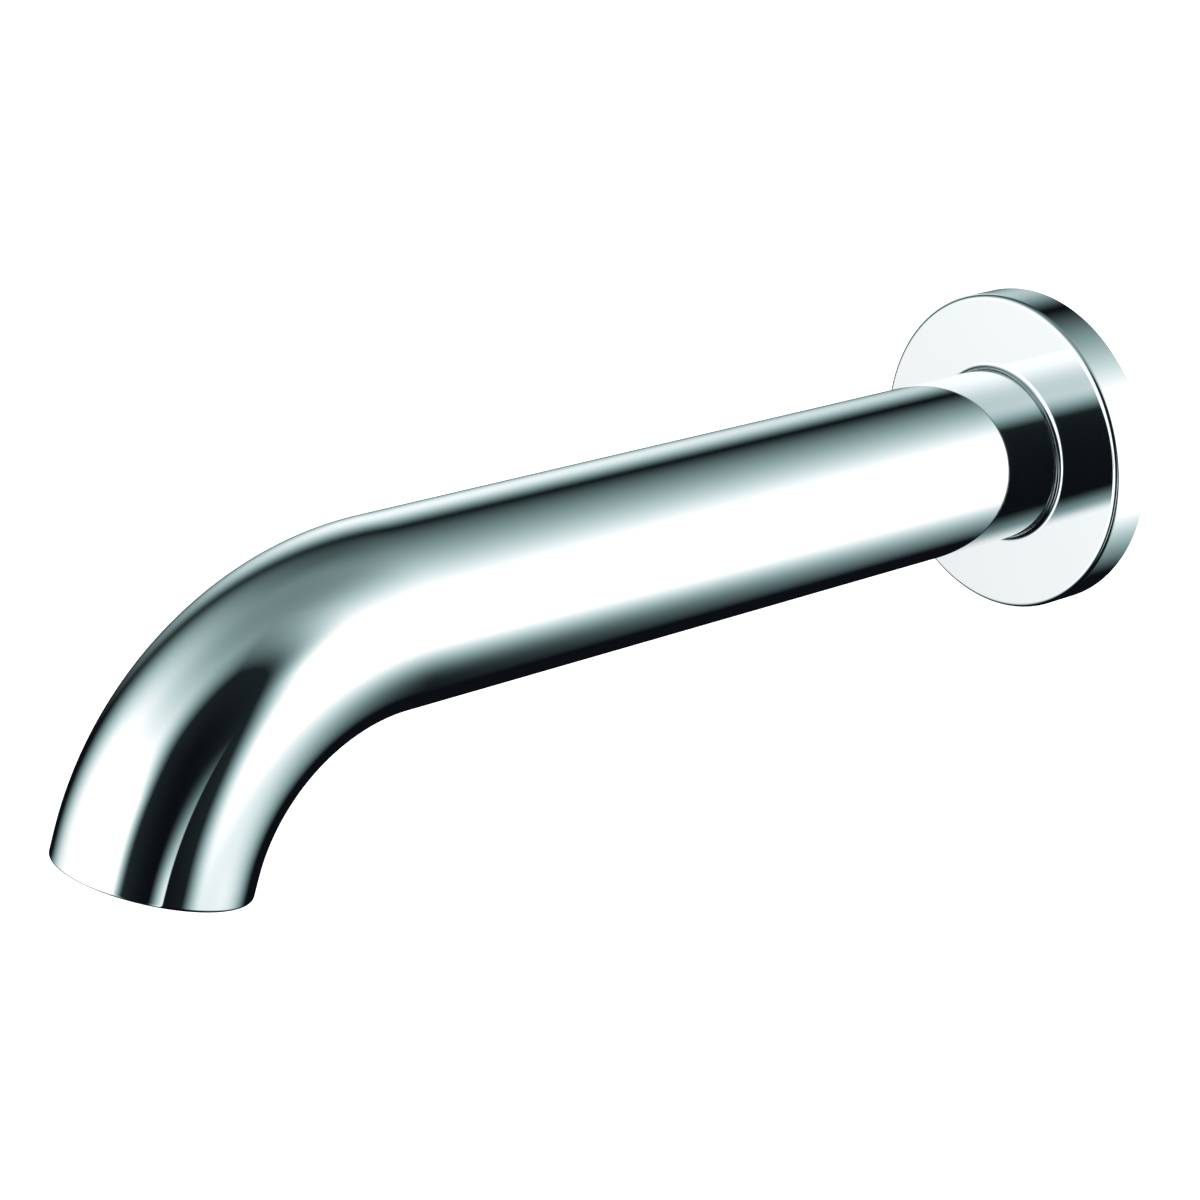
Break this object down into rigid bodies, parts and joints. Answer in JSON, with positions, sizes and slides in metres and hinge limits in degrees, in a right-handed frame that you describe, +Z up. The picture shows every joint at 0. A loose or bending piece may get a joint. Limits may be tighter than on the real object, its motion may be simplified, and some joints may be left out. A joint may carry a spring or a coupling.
{
  "type": "touchless wall tap",
  "caption": "Wall-mounted spout, a chrome tube bent down at its end, with a round wall flange, an infrared sensor and an aerator in its outlet.",
  "frame": {"origin": "centre of the wall base's rear face, where the tap meets the wall, on the spout's axis", "axes": "+Y into the wall, so the spout leaves along -Y; +Z up, so the outlet points down; +X to the right of someone facing the wall"},
  "size_m": [0.06, 0.2038, 0.0681],
  "materials": {
    "tube_chrome": "bright chrome plate on brass, polished to a mirror",
    "flange_chrome": "bright chrome plate on brass, polished to a mirror",
    "seal_rubber": "black sealing rubber, matte",
    "base_brass": "machined brass with fine turning marks",
    "screw_steel": "plain stainless steel",
    "barb_brass": "turned brass",
    "hose_plastic": "translucent white polymer hose",
    "ferrule_steel": "crimped stainless sleeve",
    "socket_plastic": "black moulded plastic",
    "pin_brass": "gilt contact pins",
    "lead_sheath": "black flexible sheath",
    "head_plastic": "dark grey moulded plastic with a fine spark texture",
    "aerator_chrome": "bright chrome plate",
    "aerator_plastic": "pale grey moulded plastic",
    "window_plastic": "very dark red infrared window, glossy",
    "case_plastic": "black moulded plastic",
    "board_laminate": "green circuit board laminate",
    "emitter_resin": "pale blue clear resin",
    "receiver_resin": "near-black resin"
  },
  "bodies": {
    "root": {"spout_tube": "tube_chrome", "wall_flange": "flange_chrome", "flange_grip_ring": "seal_rubber", "flange_seal": "seal_rubber", "wall_base": "base_brass", "spigot_rings": "seal_rubber", "grub_screws": "screw_steel", "inlet_barb": "barb_brass", "water_hose": "hose_plastic", "hose_ferrules": "ferrule_steel", "lead_socket": "socket_plastic", "socket_pins": "pin_brass", "sensor_lead": "lead_sheath", "outlet_head": "head_plastic", "outlet_ring": "seal_rubber", "aerator_housing": "aerator_chrome", "aerator_grid": "aerator_plastic", "aerator_diffuser": "aerator_plastic", "aerator_strainer": "aerator_plastic", "aerator_seal": "seal_rubber", "sensor_window": "window_plastic", "sensor_case": "case_plastic", "sensor_board": "board_laminate", "ir_emitter": "emitter_resin", "ir_receiver": "receiver_resin"}
  },
  "joints": []
}
